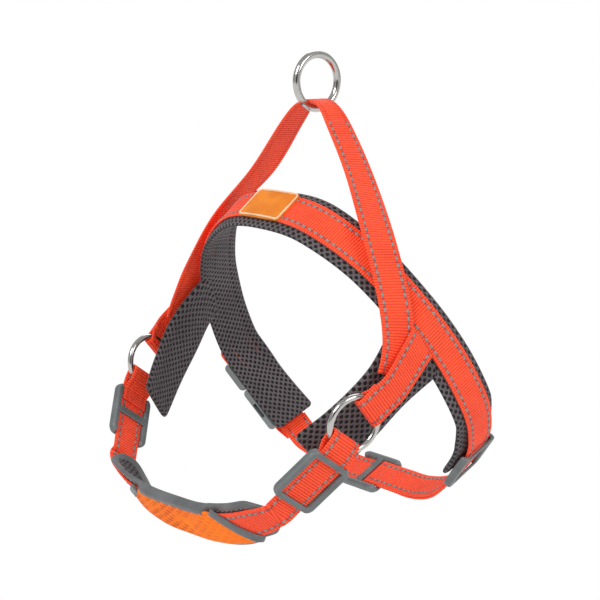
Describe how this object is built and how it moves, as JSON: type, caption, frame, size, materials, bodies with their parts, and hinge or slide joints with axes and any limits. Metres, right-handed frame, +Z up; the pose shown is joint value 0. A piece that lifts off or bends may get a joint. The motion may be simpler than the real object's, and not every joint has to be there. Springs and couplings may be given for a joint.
{
  "type": "no pull dog harness",
  "caption": "Y-front no pull dog harness: padded saddle and chest arms, steel lead and side rings, sliding adjusters, floating chest pad and a belly strap with a side-release buckle.",
  "frame": {"origin": "centre of the standing footprint's box, on the plane that the chest pad and the belly slider stand on", "axes": "+Z up, -Y the way the dog faces, +X the dog's left side"},
  "size_m": [0.2848, 0.224, 0.3422],
  "materials": {
    "webbing": "woven polyester webbing, fine cross ribs",
    "mesh_pad": "grey air mesh with a regular grid of holes",
    "chest_fabric": "printed woven polyester, small dots",
    "binding": "smooth grey binding tape",
    "label": "soft matte moulded label, blank",
    "label_edge": "pale raised rim",
    "steel": "polished welded steel wire",
    "plastic": "fine-grained grey acetal"
  },
  "bodies": {
    "harness": {"lead_strap": "webbing", "saddle_webbing": "webbing", "arm_webbing_left": "webbing", "arm_webbing_right": "webbing", "chest_strap": "webbing", "belly_strap": "webbing", "belly_strap_return": "webbing", "saddle_pad": "mesh_pad", "arm_pad_left": "mesh_pad", "arm_pad_right": "mesh_pad", "chest_pad_back": "mesh_pad", "label_border": "label_edge", "label_patch": "label", "chest_panel": "chest_fabric", "chest_binding_top": "binding", "chest_binding_bottom": "binding", "chest_opening_trim_left": "binding", "chest_opening_trim_right": "binding", "girth_slider": "plastic", "buckle_plug": "plastic"},
    "lead_ring": {"lead_ring": "steel"},
    "side_ring_left": {"side_ring_left": "steel"},
    "side_ring_right": {"side_ring_right": "steel"},
    "chest_slider_left": {"chest_slider_left": "plastic"},
    "chest_slider_right": {"chest_slider_right": "plastic"},
    "belly_slider": {"belly_slider": "plastic"},
    "buckle_prong_front": {"buckle_prong_front": "plastic"},
    "buckle_prong_rear": {"buckle_prong_rear": "plastic"},
    "buckle_socket": {"buckle_socket": "plastic", "buckle_socket_tab": "webbing"}
  },
  "joints": [
    {"name": "lead_ring_swing", "type": "hinge", "parent": "harness", "child": "lead_ring", "pos_m": [0.0066, 0.02503, 0.30092], "axis": [0, 1, 0], "range_deg": [-50, 50]},
    {"name": "side_ring_left_turn", "type": "hinge", "parent": "harness", "child": "side_ring_left", "pos_m": [0.1256, -0.04447, 0.10317], "axis": [0.9842, -0.1415, -0.1066], "continuous": true},
    {"name": "side_ring_right_turn", "type": "hinge", "parent": "harness", "child": "side_ring_right", "pos_m": [-0.1124, -0.04447, 0.10317], "axis": [-0.9842, -0.1415, -0.1066], "continuous": true},
    {"name": "chest_slider_left_slide", "type": "slide", "parent": "harness", "child": "chest_slider_left", "axis": [-0.4884, -0.4981, -0.7165], "range_m": [0, 0.006]},
    {"name": "chest_slider_right_slide", "type": "slide", "parent": "harness", "child": "chest_slider_right", "axis": [0.4884, -0.4981, -0.7165], "range_m": [0, 0.006]},
    {"name": "belly_slider_slide", "type": "slide", "parent": "harness", "child": "belly_slider", "axis": [-1, 0, 0], "range_m": [0, 0.01]},
    {"name": "buckle_open", "type": "slide", "parent": "harness", "child": "buckle_socket", "axis": [0.5562, 0.3222, -0.7661], "range_m": [0, 0.026]},
    {"name": "prong_front_press", "type": "hinge", "parent": "harness", "child": "buckle_prong_front", "pos_m": [-0.12034, 0.06082, 0.06573], "axis": [-0.8306, 0.2469, -0.4992], "range_deg": [-10, 0], "stiffness_Nm_per_rad": 2.3},
    {"name": "prong_rear_press", "type": "hinge", "parent": "harness", "child": "buckle_prong_rear", "pos_m": [-0.1198, 0.07819, 0.07342], "axis": [-0.8306, 0.2469, -0.4992], "range_deg": [0, 10], "stiffness_Nm_per_rad": 2.3}
  ],
  "couplings": [
    {"joint": "prong_rear_press", "follows": "prong_front_press", "ratio": -1}
  ]
}
